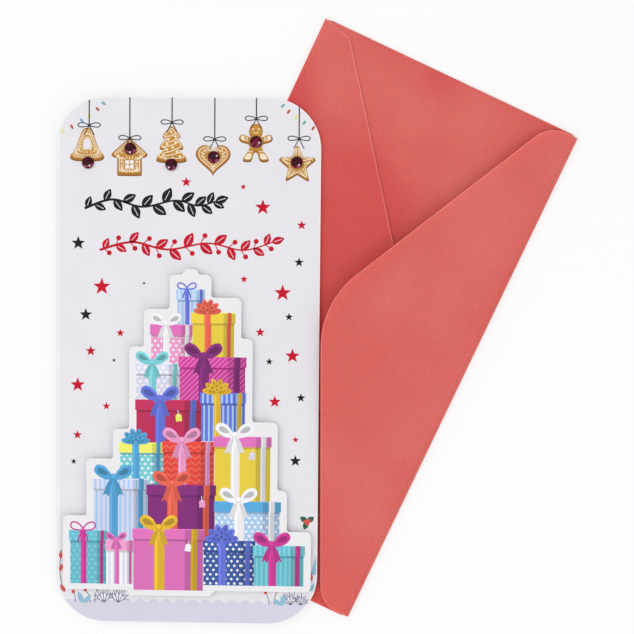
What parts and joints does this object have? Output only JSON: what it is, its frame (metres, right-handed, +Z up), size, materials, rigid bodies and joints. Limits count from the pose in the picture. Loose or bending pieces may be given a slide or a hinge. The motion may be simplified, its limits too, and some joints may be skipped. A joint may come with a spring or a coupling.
{
  "type": "money envelope",
  "caption": "Folded gift card for money with a raised picture of stacked boxes and cut stones, lying on its pointed-flap paper envelope.",
  "frame": {"origin": "on the table, under the middle of the rectangle that the card and its envelope take up", "axes": "+Z up from the table, +Y towards the card's head, +X towards the envelope's side; the envelope lies turned 24.7 degrees clockwise"},
  "size_m": [0.2061, 0.2415, 0.0081],
  "materials": {
    "envelope_paper": "matt coral red paper with a fine grain",
    "gum": "thin dry gum, slightly shiny",
    "card_board": "coated pale lavender-white card, satin",
    "pocket_paper": "plain white paper, matt",
    "glue": "dry clear glue",
    "stack_board": "coated white card with a printed picture, satin",
    "foam": "white foam, matt",
    "rhinestone": "dark wine-red faceted, high gloss"
  },
  "bodies": {
    "envelope": {"envelope_front_panel": "envelope_paper", "envelope_side_flap_head": "envelope_paper", "envelope_side_flap_foot": "envelope_paper", "envelope_bottom_flap": "envelope_paper", "seam_gum_head": "gum", "seam_gum_foot": "gum"},
    "closure_flap": {"envelope_closure_flap": "envelope_paper", "closure_flap_gum": "gum"},
    "card": {"card_back_cover": "card_board", "money_pocket_panel": "pocket_paper", "pocket_glue_left": "glue", "pocket_glue_right": "glue", "pocket_glue_foot": "glue"},
    "card_cover": {"card_front_cover": "card_board", "raised_gift_stack": "stack_board", "foam_pad_1": "foam", "foam_pad_2": "foam", "foam_pad_3": "foam", "foam_pad_4": "foam", "foam_pad_5": "foam", "foam_pad_6": "foam", "foam_pad_7": "foam", "foam_pad_8": "foam", "foam_pad_9": "foam", "foam_pad_10": "foam", "foam_pad_11": "foam", "foam_pad_12": "foam", "foam_pad_13": "foam", "rhinestone_1": "rhinestone", "rhinestone_2": "rhinestone", "rhinestone_3": "rhinestone", "rhinestone_4": "rhinestone", "rhinestone_5": "rhinestone", "rhinestone_6": "rhinestone"}
  },
  "joints": [
    {"name": "closure_flap_crease", "type": "hinge", "parent": "envelope", "child": "closure_flap", "pos_m": [0.05741, -0.02124, 0.00135], "axis": [0.4179, 0.9085, 0], "range_deg": [-4, 172]},
    {"name": "card_lift", "type": "slide", "parent": "envelope", "child": "card", "axis": [0, 0, 1], "range_m": [0, 0.08]},
    {"name": "card_cover_fold", "type": "hinge", "parent": "card", "child": "card_cover", "pos_m": [-0.10229, -0.01592, 0.00325], "axis": [0, -1, 0], "range_deg": [0, 180]}
  ]
}
